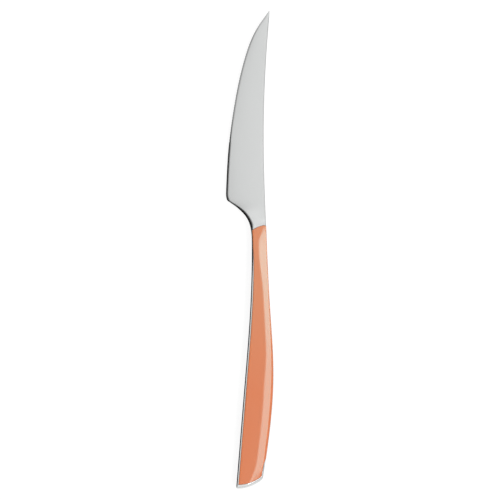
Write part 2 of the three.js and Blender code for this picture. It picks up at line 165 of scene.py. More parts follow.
# Finishes
STEEL_TONES = (0.690, 0.702, 0.698), (0.716, 0.726, 0.722)
STEEL_ROUGHNESS = 0.13, 0.20
POLISH_SCALE = 5200.0             # fine lines along the knife
POLISH_DEPTH = 0.000002
HAZE_SCALE = 55.0
# The neck's tone is the butt's made paler, as painted light standing in for brighter light near the neck
BUTT_ORANGE = (0.684, 0.165, 0.048)
NECK_ORANGE_PAINTED_LIGHTER = (0.672, 0.207, 0.079)
PAINTED_LIGHT_FADE = -0.072, -0.020      # painted light: the plastic's tone turns paler from the butt's to the neck's, along the frame
PAINTED_LIGHT_SHARE = 0.85
PLASTIC_IOR = 1.75
PLASTIC_SHEEN_TINT = (0.32, 1.0, 1.0, 1.0)
PLASTIC_ROUGHNESS = 0.17, 0.22
CLOUD_SCALE = 90.0
CLOUD_SHARE = -0.08, 0.12
PEEL_SCALE = 700.0
PEEL_DEPTH = 0.000004
ADHESIVE_TONES = (0.24, 0.160, 0.115), (0.32, 0.225, 0.170)
ADHESIVE_ROUGHNESS = 0.5, 0.7
GRAIN_SCALE = 2400.0
NOISE_SPAN = 0.3, 0.7             # noise seldom leaves this range
EVEN = (1.0, 1.0, 1.0)

# Floor, camera and sky. A ramp of the sky is an axis, where it starts and ends, and its two levels.
FLOOR_HALF = 8.0
FLOOR_GLOW = 0.86
FLOOR_TONE = (0.2, 0.2, 0.2, 1)
LENS = 120.0
SENSOR = 36.0
CLIP = 0.01, 50.0
CAMERA_PLACE = (0.000126, -0.000150, 0.8410)
DARK_BEYOND_BELLY = ("X", -0.42, -0.10, 0.01, 1.13)
LIT_BEYOND_POINT = ("Y", 0.23, 0.46, 0.0, 1.0)
GREY_HORIZON = ("Z", 0.51, 0.62, 0.6, 0.0)
SKY_SHADES = (
    ("X", 0.66, 0.84, 1.0, 0.55),      # greyer far beyond the back
    ("Y", 0.12, 0.40, 1.0, 1.22),      # brighter beyond the point
    ("Y", -0.45, -0.15, 1.2, 1.0),     # and beyond the butt
    ("Z", 0.45, 0.70, 0.8, 1.0),       # greyer low down
)
SOFTBOX = (
    ("X", 0.22, 0.31, 0.0, 1.0),
    ("X", 0.60, 0.73, 1.0, 0.0),
    ("Y", -0.66, -0.34, 0.0, 1.0),
    ("Z", 0.60, 0.69, 0.0, 1.0),
    ("Y", 0.35, 0.5, 1.0, 0.0),
    ("Y", -0.085, -0.02, 3.5, 5.0),    # its strength, less on the side of the butt
)


# Curves and laws

def mix(a, b, t):
    return a + (b - a) * t


def clamp(value):
    return min(max(value, 0.0), 1.0)


def spread(start, end, steps):
    """Evenly spaced values from the start to the end, both included."""
    return [mix(start, end, i / steps) for i in range(steps + 1)]


def smooth(y, start, end):
    t = clamp((y - start) / (end - start))
    return t * t * (3 - 2 * t)


def rounding(gone, radius):
    """How far a rounded corner lies back, this far along from its start."""
    left = min(max(radius - gone, 0.0), radius)
    return radius - math.sqrt(radius ** 2 - left ** 2)


def law(points):
    """Smooth curve through (place, value) points that never overshoots them."""
    places = [y for y, _ in points]
    values = [v for _, v in points]
    chords = [(b[1] - a[1]) / (b[0] - a[0]) for a, b in zip(points, points[1:])]
    slopes = []
    for before, after in zip([0.0] + chords, chords + [0.0]):
        slopes.append(2 * before * after / (before + after) if before * after > 0 else 0.0)

    def at(y):
        if y <= places[0]:
            return values[0]
        if y >= places[-1]:
            return values[-1]
        i = bisect.bisect_right(places, y) - 1
        span = places[i + 1] - places[i]
        t = (y - places[i]) / span
        lift = (values[i + 1] - values[i]) * t * t * (3 - 2 * t)
        return values[i] + lift + span * t * (1 - t) * (slopes[i] * (1 - t) - slopes[i + 1] * t)

    return at


def spline(points):
    """Natural cubic spline through (place, value) points."""
    places = [y for y, _ in points]
    values = [v for _, v in points]
    n = len(points)
    gaps = [b - a for a, b in zip(places, places[1:])]
    chords = [(b - a) / gap for a, b, gap in zip(values, values[1:], gaps)]
    bend = [0.0] * n
    ratio = [0.0] * n
    for i in range(1, n - 1):
        pivot = 2 * (gaps[i - 1] + gaps[i]) - gaps[i - 1] * ratio[i - 1]
        ratio[i] = gaps[i] / pivot
        bend[i] = (6 * (chords[i] - chords[i - 1]) - gaps[i - 1] * bend[i - 1]) / pivot
    for i in range(n - 2, 0, -1):
        bend[i] -= ratio[i] * bend[i + 1]

    def at(y):
        i = min(max(bisect.bisect_right(places, y) - 1, 0), n - 2)
        a = y - places[i]
        b = places[i + 1] - y
        pull = bend[i] * (gaps[i] + b) + bend[i + 1] * (gaps[i] + a)
        return values[i] + chords[i] * a - a * b * pull / (6 * gaps[i])

    return at


def bezier(*controls):
    """Bezier curve of any degree, from t = 0 to 1."""
    def at(t):
        points = controls
        while len(points) > 1:
            points = [(mix(a[0], b[0], t), mix(a[1], b[1], t)) for a, b in zip(points, points[1:])]
        return points[0]

    return at


def crossing(curve, axis, value):
    """Point of a curve that only climbs along one axis (0 across, 1 along), at that value."""
    low, high = 0.0, 1.0
    for _ in range(HALVINGS):
        middle = (low + high) / 2
        if curve(middle)[axis] < value:
            low = middle
        else:
            high = middle
    return curve((low + high) / 2)


# Outline of the knife

back_line = spline([
    (BUTT_RISE - HANDLE_LENGTH, BUTT_WIDTH - BUTT_DROP),
    (-0.765 * HANDLE_LENGTH, 0.56 * BACK_SWELL),
    (-0.57 * HANDLE_LENGTH, BACK_SWELL),
    (-0.3 * HANDLE_LENGTH, 0.51 * BACK_SWELL),
    (0.0, 0.0),
    (0.365 * BLADE_LENGTH, -BACK_HOLLOW),
    (0.62 * BLADE_LENGTH, -0.7 * BACK_HOLLOW),
    (0.86 * BLADE_LENGTH, 0.33 * POINT_SWEEP),
    (BLADE_LENGTH, POINT_SWEEP),
])

EDGE_LENGTH = BLADE_LENGTH - HEEL_FROM_NECK
EDGE_RISE = BLADE_DEPTH + POINT_SWEEP
EDGE_SHARES = ((0, 0), (0.225, 0.05), (0.486, 0.191), (0.75, 0.439), (0.925, 0.758), (1, 0.985))
edge_line = spline([
    (HEEL_FROM_NECK + along * EDGE_LENGTH, up * EDGE_RISE - BLADE_DEPTH) for along, up in EDGE_SHARES
])

HEEL_FOOT = (HEEL_ROUND - BLADE_DEPTH, HEEL_FROM_NECK - HEEL_LENGTH)
CHOIL_RUN = (math.cos(CHOIL_ANGLE), -math.sin(CHOIL_ANGLE))
HEEL_CORNER = (-BLADE_DEPTH, HEEL_FOOT[1] - HEEL_ROUND * CHOIL_RUN[1] / CHOIL_RUN[0])
heel_curve = bezier(HEEL_FOOT, HEEL_CORNER, (edge_line(HEEL_FROM_NECK), HEEL_FROM_NECK))
choil_curve = bezier(
    (-NECK_WIDTH, -NECK_LENGTH),
    (-NECK_WIDTH, CHOIL_TURN * NECK_LENGTH),
    (HEEL_FOOT[0] + CHOIL_SWEEP * CHOIL_RUN[0], HEEL_FOOT[1] + CHOIL_SWEEP * CHOIL_RUN[1]),
    HEEL_FOOT,
)
belly_line = spline([
    (-HANDLE_LENGTH, -BUTT_DROP),
    (-0.575 * HANDLE_LENGTH, mix(-NECK_WIDTH, -BUTT_DROP, 0.425)),
    (-0.305 * HANDLE_LENGTH, mix(-NECK_WIDTH, -BUTT_DROP, 0.095)),
    (-NECK_LENGTH - NECK_STRAIGHT, -NECK_WIDTH),
    (-NECK_LENGTH, -NECK_WIDTH),
])


def lower_line(y):
    if y > HEEL_FROM_NECK:
        return edge_line(y)
    if y > HEEL_FOOT[1]:
        return crossing(heel_curve, 1, y)[0]
    if y > -NECK_LENGTH:
        return crossing(choil_curve, 1, y)[0]
    return belly_line(y)


# Laws of the sections along the knife

BEVEL_FROM = TEETH_FROM_NECK - 0.6 * BEVEL_CHANGE
BEVEL_TO = BEVEL_FROM + BEVEL_CHANGE


def neck_place(share):
    """Place between the heel's end of the choil (0) and the full neck (1)."""
    return mix(HEEL_FOOT[1], -NECK_FULL, share)


face_half = law([
    (-SHOULDER, HANDLE_HALF),
    (neck_place(1), NECK_HALF),
    (neck_place(0.52), mix(BEVEL_HALF, NECK_HALF, 0.6)),
    (neck_place(0), 1.2 * BEVEL_HALF),
    (HEEL_FROM_NECK, BEVEL_HALF),
    (BEVEL_FROM - FACE_CHANGE, BEVEL_HALF),
    (BEVEL_TO + FACE_CHANGE, TEETH_BEVEL_HALF),
])
belly_width = law([
    (-1.6 * SHOULDER, BELLY_ROUND),
    (neck_place(1.5), mix(BELLY_ROUND, NECK_ROUND, 0.3)),
    (neck_place(1.1), mix(BELLY_ROUND, NECK_ROUND, 0.38)),
    (neck_place(0.88), mix(BELLY_ROUND, NECK_ROUND, 0.56)),
    (neck_place(0.7), NECK_ROUND),
    (neck_place(0.34), NECK_ROUND),
    (HEEL_FROM_NECK, BEVEL_WIDTH),
    (BEVEL_FROM, BEVEL_WIDTH),
    (BEVEL_TO, TEETH_BEVEL_WIDTH),
    (BEVEL_TO + BEVEL_FADE, FORWARD_BEVEL_WIDTH),
    (0.8 * BLADE_LENGTH, FORWARD_BEVEL_WIDTH),
    (0.95 * BLADE_LENGTH, 0.75 * FORWARD_BEVEL_WIDTH),
])
ridge_from_back = law([
    (-HANDLE_LENGTH, 1.7 * FACET_WIDTH),
    (-0.955 * HANDLE_LENGTH, 1.24 * FACET_WIDTH),
    (-0.91 * HANDLE_LENGTH, 1.04 * FACET_WIDTH),
    (-0.62 * HANDLE_LENGTH, FACET_WIDTH),
    (-0.46 * HANDLE_LENGTH, 0.72 * FACET_WIDTH),
    (-0.25 * HANDLE_LENGTH, 0.64 * FACET_WIDTH),
    (-0.1 * HANDLE_LENGTH, 0.9 * FACET_WIDTH),
    (-0.055 * HANDLE_LENGTH, 0.93 * FACET_WIDTH),
    (-0.02 * HANDLE_LENGTH, 0.62 * FACET_WIDTH),
    (0.015 * HANDLE_LENGTH, 0.25 * FACET_WIDTH),
])
back_round = law([
    (-HANDLE_LENGTH, 0.45 * HANDLE_BACK_ROUND),
    (-0.93 * HANDLE_LENGTH, 0.8 * HANDLE_BACK_ROUND),
    (-0.8 * HANDLE_LENGTH, HANDLE_BACK_ROUND),
    (-0.62 * HANDLE_LENGTH, 0.93 * HANDLE_BACK_ROUND),
    (-0.3 * HANDLE_LENGTH, mix(BACK_ROUND, HANDLE_BACK_ROUND, 0.15)),
    (-SHOULDER, BACK_ROUND),
])


def facet_foot(y):
    return HANDLE_HALF - (ridge_from_back(y) - back_round(y)) * math.tan(FACET_ANGLE)


neck_back_half = law([
    (-SHOULDER, facet_foot(-SHOULDER)),
    (neck_place(1), NECK_BACK_HALF),
    (neck_place(0.72), mix(BLADE_HALF, NECK_BACK_HALF, 0.97)),
    (neck_place(0.52), mix(BLADE_HALF, NECK_BACK_HALF, 0.66)),
    (HEEL_FROM_NECK, BLADE_HALF),
    (BLADE_LENGTH, POINT_HALF),
])


def back_half(y):
    return mix(neck_back_half(y), facet_foot(y), smooth(y, 0.5 * -SHOULDER, 1.5 * -SHOULDER))


def butt_rise(share):
    return BUTT_RISE * max(share, 0.0) ** BUTT_CURVE


class Section:
    """One cross section of the knife, leaning with the butt. Places across it count from the belly."""

    BELLY_STEPS = 9
    FACE_STEPS = 6
    RIDGE_STEPS = 6
    FACET_STEPS = 4
    BACK_STEPS = 8

    def __init__(self, y):
        gone = y + HANDLE_LENGTH
        self.y = y
        self.lean = smooth(y, BUTT_LEAN - HANDLE_LENGTH, -HANDLE_LENGTH)
        self.left = lower_line(y)
        self.right = back_line(y + self.lean * BUTT_RISE)
        self.inset = rounding(gone, BELLY_CORNER)
        self.width = self.right - self.left - self.inset - rounding(gone, BACK_CORNER)
        room = min(self.width / NARROW, 1)
        self.face = mix(EDGE_HALF, face_half(y), room)
        self.thinning = 1 - rounding(gone, BUTT_ROUND) / self.face
        self.belly = belly_width(y) * room
        taper = min(self.width / POINT_TAPER, 1) if y > HEEL_FROM_NECK else 1
        self.spine = mix(self.face, back_half(y), taper)
        self.back = back_round(y) * room
        self.steel = smooth(y, HEEL_FROM_NECK, neck_place(0.45))
        self.edge = mix(EDGE_HALF, self.face - self.belly * math.tan(ROUND_TURN / 2), self.steel)
        self.crown = BLADE_CROWN * self.width / BLADE_DEPTH
        self.flat = smooth(y, neck_place(0.34), neck_place(1))
        self.ridge = self.width - ridge_from_back(y) * room
        self.facet_end = self.width - self.back
        rise = self.spine - self.face + 4 * self.crown
        self.tilt = (1 - self.flat) * rise / (self.facet_end - self.belly)
        self.ridge_height = self.broad_side(self.ridge)
        run = self.facet_end - self.ridge
        self.fall = math.atan2(self.ridge_height - self.spine, run)
        handle = smooth(y, CRISP_FROM, CRISP_TO)
        self.turn = mix(max(self.fall, CRISP_TURN), self.fall, handle)
        self.radius = self.back / (1 - math.sin(self.turn))
        self.soft = min(RIDGE_SOFT, RIDGE_SHARE * (self.ridge - self.belly), RIDGE_SHARE * run)

    def broad_side(self, across):
        share = (across - self.belly) / (self.facet_end - self.belly)
        ground = mix(self.face, self.spine, share) + 4 * self.crown * share * (1 - share)
        return mix(ground, self.face, self.flat)

    def belly_arc(self, share):
        angle = ROUND_TURN * (1 - share)
        out = math.sin(angle) / math.sin(ROUND_TURN)
        down = (1 - math.cos(angle)) / (1 - math.cos(ROUND_TURN))
        side = self.face - self.tilt * self.belly * out
        return self.belly * (1 - out), side - (self.face - self.tilt * self.belly - self.edge) * down

    def back_arc(self, angle):
        drop = self.radius * (math.cos(self.turn) - math.cos(angle))
        return self.width - self.radius * (1 - math.sin(angle)), self.spine - drop

    def height(self, across):
        """Height of the upper side: on its two rounded edges, and over the softened ridge between them."""
        if across < self.belly:
            out = 1 - max(across, 0.0) / self.belly
            return self.belly_arc(1 - math.asin(out * math.sin(ROUND_TURN)) / ROUND_TURN)[1]
        if across > self.facet_end:
            return self.back_arc(math.asin(clamp(1 - (self.width - across) / self.radius)))[1]
        side = self.broad_side(across)
        facet = self.ridge_height - (across - self.ridge) * math.tan(self.fall)
        depth = max(self.soft * abs(math.tan(self.fall)), 1e-6)
        gap = max(depth - abs(side - facet), 0.0)
        return (side if across < self.ridge else facet) - self.flat * gap ** 2 / (4 * depth)

    def place(self, across, height):
        share = (self.inset + across) / (self.right - self.left)
        x = self.left + self.inset + across
        return x, self.y + self.lean * butt_rise(share), height * self.thinning

    def upper(self):
        """Upper side from the belly to the back, as points in the knife."""
        points = [self.belly_arc(share) for share in spread(0, 1, self.BELLY_STEPS)]
        start, end = self.ridge - self.soft, self.ridge + self.soft
        spots = spread(self.belly, start, self.FACE_STEPS)[1:-1]
        spots += spread(start, end, self.RIDGE_STEPS)
        spots += spread(end, self.facet_end, self.FACET_STEPS)[1:-1]
        points += [(spot, self.height(spot)) for spot in spots]
        points += [self.back_arc(turn) for turn in spread(self.turn, math.pi / 2, self.BACK_STEPS)]
        return [self.place(*point) for point in points]


def surface_height(x, y):
    """Height of the upper side at a place in plan."""
    section = Section(y)
    for _ in range(LEAN_ROUNDS):
        share = (x - section.left) / (section.right - section.left)
        section = Section(y - section.lean * butt_rise(share))
    return section.height(min(max(x - section.left, 0.0), section.width))


# Meshes

def new_piece(name, points, faces=(), edges=()):
    mesh = bpy.data.meshes.new(name)
    mesh.from_pydata(points, edges, faces)
    piece = bpy.data.objects.new(name, mesh)
    bpy.context.scene.collection.objects.link(piece)
    return piece


def chain(points):
    """Edges that join points in a row."""
    return [(i, i + 1) for i in range(len(points) - 1)]


def clean(piece):
    """Merges doubled points, drops faces without area and turns all faces outwards."""
    bm = bmesh.new()
    bm.from_mesh(piece.data)
    bmesh.ops.remove_doubles(bm, verts=bm.verts, dist=MERGE)
    bmesh.ops.dissolve_degenerate(bm, edges=bm.edges, dist=MERGE)
    bmesh.ops.recalc_face_normals(bm, faces=bm.faces)
    bm.to_mesh(piece.data)
    bm.free()


def stations():
    """Places of the sections from the butt to the point, closer together where the shape turns."""
    corner = max(BACK_CORNER, BUTT_ROUND)
    stretches = (
        (corner - HANDLE_LENGTH, 24),      # start of a stretch, and its number of sections
        (-0.86 * HANDLE_LENGTH, 60),
        (-SHOULDER, 16),
        (-NECK_LENGTH, 24),
        (neck_place(0.75), 40),
        (HEEL_FOOT[1], 24),
        (HEEL_FROM_NECK, 22),
        (BEVEL_FROM, 8),
        (BEVEL_TO, 40),
        (0.88 * BLADE_LENGTH, 26),
        (BLADE_LENGTH - POINT_LAND, 0),
    )
    places = []
    for i in range(CORNER_SECTIONS):
        places.append(corner * (1 - math.cos(i / CORNER_SECTIONS * math.pi / 2)) - HANDLE_LENGTH)
    for (start, count), (end, _) in zip(stretches, stretches[1:]):
        places += spread(start, end, count)[:-1]
    return places + [BLADE_LENGTH - POINT_LAND]


def knife_body():
    """The whole knife as one closed skin, before pockets and teeth."""
    points, faces = [], []
    rings = [Section(y).upper() for y in stations()]
    count = len(rings[0])
    for ring in rings:
        points += ring
        points += [(x, y, -z) for x, y, z in ring]

    def at(r, side, i):
        return (r * 2 + side) * count + i

    last, back = len(rings) - 1, count - 1
    for r in range(last):
        for i in range(back):
            faces.append((at(r, 0, i), at(r, 0, i + 1), at(r + 1, 0, i + 1), at(r + 1, 0, i)))
            faces.append((at(r, 1, i + 1), at(r, 1, i), at(r + 1, 1, i), at(r + 1, 1, i + 1)))
        faces.append((at(r, 1, 0), at(r, 0, 0), at(r + 1, 0, 0), at(r + 1, 1, 0)))
        faces.append((at(r, 0, back), at(r, 1, back), at(r + 1, 1, back), at(r + 1, 0, back)))
    for i in range(back):
        faces.append((at(0, 1, i), at(0, 1, i + 1), at(0, 0, i + 1), at(0, 0, i)))
        faces.append((at(last, 0, i), at(last, 0, i + 1), at(last, 1, i + 1), at(last, 1, i)))
    piece = new_piece("blade_and_tang_finish", points, faces)
    clean(piece)
    return piece


rim_width = law([
    (-0.2 * HANDLE_LENGTH, RIM_BELLY),
    (-0.125 * HANDLE_LENGTH, 0.9 * RIM_BELLY),
    (-0.045 * HANDLE_LENGTH, RIM_NECK),
])


class Pocket:
    """Plan of a pocket, or of a piece in it that keeps a gap all round."""

    BACK_STEPS = 40
    CORNER_STEPS = 10
    BUTT_STEPS = 30
    BELLY_STEPS = 120
    SLANT_STEPS = 24
    FRONT_STEPS = 12

    def __init__(self, gap):
        self.gap = gap
        self.foot = Section(RIM_BUTT + gap - HANDLE_LENGTH)
        self.corner = self.foot.y + self.foot.lean * BUTT_RISE
        self.front = -0.5 * FRONT_SLANT - gap
        self.back_rim = law([
            (self.corner, -RIM_BACK - gap),
            (self.corner + 0.5 * RIM_BACK_LENGTH, -0.9 * RIM_BACK - gap),
            (self.corner + RIM_BACK_LENGTH, 0.0),
            (self.corner + 1.4 * RIM_BACK_LENGTH, RIM_BACK),
        ])
        peak = (-FRONT_PEAK, 0.5 * FRONT_SLANT - gap)
        self.side = (0.3 * FRONT_CORNER, peak[1] - FRONT_CORNER)
        self.slant = bezier(
            self.belly_side(self.front),
            (-0.8 * NECK_WIDTH, mix(self.front, peak[1], 0.5)),
            (-0.42 * NECK_WIDTH, mix(self.front, peak[1], 0.85)),
            peak,
        )
        self.front_corner = bezier(peak, (0.0, peak[1]), self.side)

    def belly_side(self, y):
        return lower_line(y) + rim_width(y) + self.gap, y

    def back_side(self, y):
        return back_line(y) + self.back_rim(y), y

    def butt_side(self, x):
        share = (x - self.foot.left) / (self.foot.right - self.foot.left)
        return x, self.foot.y + self.foot.lean * butt_rise(share)

    def front_side(self, x):
        curve = self.slant if x < -FRONT_PEAK else self.front_corner
        return crossing(curve, 0, x)[1]

    def joint(self):
        """The line round the pocket that shows, from the back rim, by the butt and belly, to the front."""
        turn_from = self.butt_side(self.back_side(self.corner)[0] - FOOT_CORNER)
        turn_to = self.back_side(self.corner + 0.2 * FOOT_CORNER)
        corner = bezier(turn_to, self.butt_side(turn_to[0]), turn_from)
        belly_foot = self.belly_side(self.foot.y)
        top = self.corner + 1.4 * RIM_BACK_LENGTH
        line = [self.back_side(y) for y in spread(top, turn_to[1], self.BACK_STEPS)[:-1]]
        line += [corner(t) for t in spread(0, 1, self.CORNER_STEPS)[:-1]]
        line += [self.butt_side(x) for x in spread(turn_from[0], belly_foot[0], self.BUTT_STEPS)[:-1]]
        line += [self.belly_side(y) for y in spread(self.foot.y, self.front, self.BELLY_STEPS)[:-1]]
        line += [self.slant(t) for t in spread(0, 1, self.SLANT_STEPS)[:-1]]
        line += [self.front_corner(t) for t in spread(0, 1, self.FRONT_STEPS)]
        return line


def pocket_cutter():
    """Both pockets as closed cutters, with straight walls and a flare that breaks the edge."""
    plan = Pocket(0.0)
    line = plan.joint()
    clear = BACK_SWELL + RIM_BACK
    line += [(clear, plan.side[1]), (clear, plan.corner + 1.8 * RIM_BACK_LENGTH)]
    count = len(line)
    flare = 0.5
    clear_top = HANDLE_HALF + 2 * flare
    base, wall, lip, lid = levels = [], [], [], []
    for i, (x, y) in enumerate(line):
        before, after = line[i - 1], line[(i + 1) % count]
        along = Vector((after[0] - before[0], after[1] - before[1])).normalized()
        out = Vector((-along.y, along.x)) * (flare + POCKET_CHAMFER)
        top = max(surface_height(x, y), back_half(y))
        base.append((x, y, WEB_HALF))
        wall.append((x, y, top - POCKET_CHAMFER))
        lip.append((x + out.x, y + out.y, top + flare))
        lid.append((x + out.x, y + out.y, clear_top))
    points, faces = [], []
    for side in (1, -1):
        start = len(points)
        points += [(x, y, side * z) for level in levels for x, y, z in level]
        for level in range(len(levels) - 1):
            for i in range(count):
                a = start + level * count + i
                b = start + level * count + (i + 1) % count
                faces.append((a, b, b + count, a + count))
        faces.append(tuple(range(start, start + count)))
        faces.append(tuple(range(len(points) - count, len(points))))
    piece = new_piece("pocket_cutter", points, faces)
    clean(piece)
    return piece


def scale_body(name, side):
    """One scale: a closed shell that follows the skin of the knife inside its pocket."""
    plan = Pocket(FIT)
    soft_steps = [SCALE_SOFT * share for share in (0.0, 0.1, 0.28, 0.55, 1.0)]
    margin = 1.2
    corner_length = 0.2 * FOOT_CORNER
    corner_shares = 0.15, 0.4, 0.7
    rows_between = 170
    flat_steps, ridge_steps, facet_steps, back_steps = 9, 8, 5, 13

    def columns(section, gone):
        """Places and heights across the scale, from the belly side to the seat under the back."""
        start = rim_width(section.y) + FIT
        ridge_from, ridge_to = section.ridge - section.soft, section.ridge + section.soft
        spots = [start + step for step in soft_steps]
        spots += spread(spots[-1], ridge_from, flat_steps)[1:-1]
        spots += spread(ridge_from, ridge_to, ridge_steps)
        spots += spread(ridge_to, section.facet_end, facet_steps)[1:-1]
        points = [(spot, section.height(spot)) for spot in spots]
        lowest = section.spine - section.radius * math.cos(section.turn)
        down = (section.spine - SEAT) / section.radius
        end = math.acos(math.cos(section.turn) - down) if lowest < SEAT else math.pi / 2
        points += [section.back_arc(turn) for turn in spread(section.turn, end, back_steps)[:-1]]
        points.append((section.back_arc(end)[0], SEAT))
        limit = section.width
        along = section.y + section.lean * BUTT_RISE
        for _ in range(RIM_ROUNDS):
            limit = min(back_line(along) + plan.back_rim(along) - section.left, section.width)
            along = section.y + section.lean * butt_rise(limit / (section.right - section.left))
        if gone < corner_length:
            limit -= FOOT_CORNER * (1 - math.sqrt(gone / corner_length)) ** 2
        return [(min(spot, limit), height) for spot, height in points], start

    def front_of(k):
        """Where a column of the scale meets its slanted front."""
        y = plan.front
        for _ in range(FRONT_ROUNDS):
            section = Section(y)
            spot = columns(section, margin)[0][k][0]
            y = plan.front_side(section.left + spot)
        return y

    foot = plan.foot.y
    count = len(columns(plan.foot, 0.0)[0])
    fronts = [front_of(k) for k in range(count)]
    reach = soft_steps + [0.5 * margin, margin]
    foot_steps = sorted(set(reach + [corner_length * share for share in corner_shares]))
    rows = []
    for step in foot_steps:
        rows.append([(foot + step, step, margin) for _ in range(count)])
    for share in spread(0, 1, rows_between)[1:-1]:
        rows.append([(mix(foot + margin, y - margin, share), margin, margin) for y in fronts])
    for step in reversed(reach):
        rows.append([(y - step, margin, step) for y in fronts])

    points, faces = [], []
    grid, left_bottom = [], []

    def add(x, y, z):
        points.append((x, y, side * z))
        return len(points) - 1

    for row in rows:
        line = []
        for k, (y, from_foot, from_front) in enumerate(row):
            section = Section(y)
            spots, start = columns(section, from_foot)
            spot, height = spots[k]
            near = [max(SCALE_SOFT - gone, 0.0) for gone in (spot - start, from_foot, from_front)]
            inward = min(math.hypot(*near), SCALE_SOFT)
            height -= SCALE_SOFT - math.sqrt(SCALE_SOFT ** 2 - inward ** 2)
            x, along, _ = section.place(spot, height)
            line.append(add(x, along, max(height, SEAT)))
            if k == 0:
                left_bottom.append(add(x, along, SEAT))
        grid.append(line)

    def bottom_of(line, first):
        """Points on the seat, under a line of the grid."""
        below = [first]
        for index in line[1:]:
            x, y, _ = points[index]
            below.append(add(x, y, SEAT))
        return below

    foot_bottom = bottom_of(grid[0], left_bottom[0])
    front_bottom = bottom_of(grid[-1], left_bottom[-1])
    for r in range(len(grid) - 1):
        for k in range(count - 1):
            faces.append((grid[r][k], grid[r][k + 1], grid[r + 1][k + 1], grid[r + 1][k]))
        faces.append((left_bottom[r], grid[r][0], grid[r + 1][0], left_bottom[r + 1]))
    for k in range(count - 1):
        faces.append((foot_bottom[k], foot_bottom[k + 1], grid[0][k + 1], grid[0][k]))
        faces.append((grid[-1][k], grid[-1][k + 1], front_bottom[k + 1], front_bottom[k]))
    right = [line[-1] for line in grid]
    loop = foot_bottom + right[1:-1] + front_bottom[::-1] + left_bottom[-2:0:-1]
    faces.append(tuple(loop))
    piece = new_piece(name, points, faces)
    clean(piece)
    return piece


# Geometry Nodes

class Tree:
    """A Geometry Nodes tree with named inputs, run once on a piece and turned into plain mesh."""

    def __init__(self, name):
        self.group = bpy.data.node_groups.new(name, "GeometryNodeTree")
        self.group.is_modifier = True
        face = self.group.interface
        face.new_socket("Geometry", in_out="INPUT", socket_type="NodeSocketGeometry")
        face.new_socket("Geometry", in_out="OUTPUT", socket_type="NodeSocketGeometry")
        self.values = {}
        self.start = self.group.nodes.new("NodeGroupInput")
        self.end = self.group.nodes.new("NodeGroupOutput")

    def size(self, name, kind, value):
        """A named input of the tree, with the value that it gets."""
        socket = self.group.interface.new_socket(name, in_out="INPUT", socket_type="NodeSocket" + kind)
        self.values[socket.identifier] = value
        return self.start.outputs[name]

    def node(self, kind, settings=(), **links):
        """A node and what goes into it. An input goes by its name, with _ for a space, or as i0, i1."""
        made = self.group.nodes.new(kind)
        for key, value in dict(settings).items():
            setattr(made, key, value)
        for key, value in links.items():
            numbered = key[0] == "i" and key[1:].isdigit()
            socket = made.inputs[int(key[1:]) if numbered else key.replace("_", " ")]
            for one in value if isinstance(value, list) else [value]:
                if isinstance(one, bpy.types.NodeSocket):
                    self.group.links.new(one, socket)
                else:
                    socket.default_value = one
        return made

    def finish(self, geometry, material):
        self.material = material
        whole = self.node("GeometryNodeRealizeInstances", Geometry=geometry)
        skin = self.size("Finish", "Material", material)
        painted = self.node("GeometryNodeSetMaterial", Geometry=whole.outputs[0], Material=skin)
        self.group.links.new(painted.outputs[0], self.end.inputs[0])

    def run(self, piece):
        modifier = piece.modifiers.new(self.group.name, "NODES")
        modifier.node_group = self.group
        for identifier, value in self.values.items():
            modifier[identifier] = value
        graph = bpy.context.evaluated_depsgraph_get()
        mesh = bpy.data.meshes.new_from_object(piece.evaluated_get(graph))
        piece.modifiers.remove(modifier)
        old = piece.data
        piece.data = mesh
        bpy.data.meshes.remove(old)
        mesh.name = piece.name
        mesh.materials.clear()
        mesh.materials.append(self.material)
        mesh.polygons.foreach_set("material_index", [0] * len(mesh.polygons))
        return piece


def posts(tree, radius, length, height):
    """Round posts in line down the handle, as instances."""
    first, last = peg_place(0), peg_place(PEG_COUNT - 1)
    line = tree.node(
        "GeometryNodeMeshLine", {"mode": "END_POINTS"},
        Count=tree.size("Peg count", "Int", PEG_COUNT),
        Start_Location=tree.size("First peg", "Vector", (first[0], first[1], height)),
        Offset=tree.size("Last peg", "Vector", (last[0], last[1], height)),
    )
    post = tree.node(
        "GeometryNodeMeshCylinder", Vertices=PEG_SIDES,
        Radius=tree.size("Peg radius", "Float", radius),
        Depth=tree.size("Peg length", "Float", length),
    )
    return tree.node(
        "GeometryNodeInstanceOnPoints", Points=line.outputs[0], Instance=post.outputs[0],
    ).outputs[0]


def peg_place(i):
    y = -mix(PEG_FIRST, PEG_LAST, i / (PEG_COUNT - 1))
    return (lower_line(y) + back_line(y)) / 2, y


